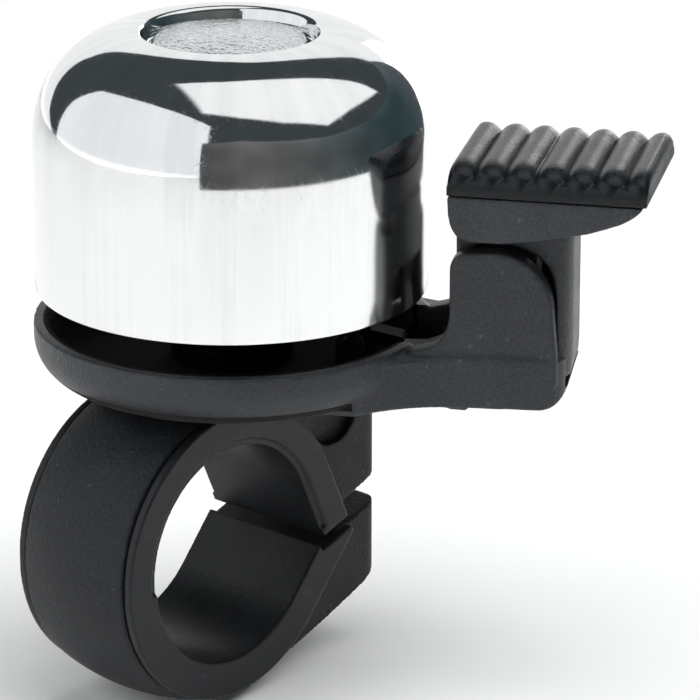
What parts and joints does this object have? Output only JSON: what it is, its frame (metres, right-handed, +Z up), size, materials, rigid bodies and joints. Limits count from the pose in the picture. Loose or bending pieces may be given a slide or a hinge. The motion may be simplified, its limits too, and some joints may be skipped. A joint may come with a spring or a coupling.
{
  "type": "thumb-lever bicycle bell",
  "caption": "Mini bicycle bell: a polished dome over a black pan, a sprung ribbed thumb lever that swings the hidden hammer, and a hinged-open plastic band that clamps to the handlebar.",
  "frame": {"origin": "on the handlebar's axis, half way along the clamp", "axes": "+X runs along the handlebar, +Y points from the bar to the clamp's lugs, and +Z points up to the dome"},
  "size_m": [0.0604, 0.0547, 0.0671],
  "materials": {
    "dome_aluminium": "polished, with a fine upright brushing on the wall",
    "cap_aluminium": "finely textured satin",
    "base_plastic": "fine-grained moulded black",
    "lever_plastic": "fine-grained moulded black",
    "grip_plastic": "satin black, ribbed",
    "clamp_plastic": "fine-grained moulded black",
    "liner_plastic": "satin charcoal",
    "seat_rubber": "matte black",
    "zinc_steel": "bright zinc",
    "post_black": "moulded black acetal",
    "hammer_black": "blackened",
    "hammer_steel": "satin"
  },
  "bodies": {
    "clamp": {"clamp_band": "clamp_plastic", "clamp_liner": "liner_plastic", "clamp_screw": "zinc_steel", "clamp_washer": "zinc_steel", "clamp_nut": "zinc_steel", "center_post": "post_black", "post_screw": "zinc_steel", "swivel_washer": "post_black", "bell_dome": "dome_aluminium", "dome_cap": "cap_aluminium", "dome_screw": "zinc_steel", "dome_washer": "zinc_steel", "dome_seat": "seat_rubber"},
    "base": {"base_housing": "base_plastic", "lever_pin": "zinc_steel", "hammer_pin": "hammer_black", "lever_spring": "hammer_steel", "hammer_spring": "hammer_steel"},
    "lever": {"lever_body": "lever_plastic", "thumb_grip": "grip_plastic"},
    "hammer": {"hammer_arm": "hammer_black", "hammer_head": "hammer_steel"}
  },
  "joints": [
    {"name": "base_swivel", "type": "hinge", "parent": "clamp", "child": "base", "pos_m": [0, 0.0079, 0.02], "axis": [0, 0, 1], "continuous": true},
    {"name": "lever_press", "type": "hinge", "parent": "base", "child": "lever", "pos_m": [0.02346, 0.02319, 0.0265], "axis": [-0.5461, 0.8377, 0], "range_deg": [-1, 10], "stiffness_Nm_per_rad": 0.05},
    {"name": "hammer_swing", "type": "hinge", "parent": "base", "child": "hammer", "pos_m": [0.01047, 0.01473, 0.0203], "axis": [-0.5461, 0.8377, 0], "range_deg": [-31, 3.1]}
  ],
  "couplings": [
    {"joint": "hammer_swing", "follows": "lever_press", "ratio": -3.1}
  ]
}
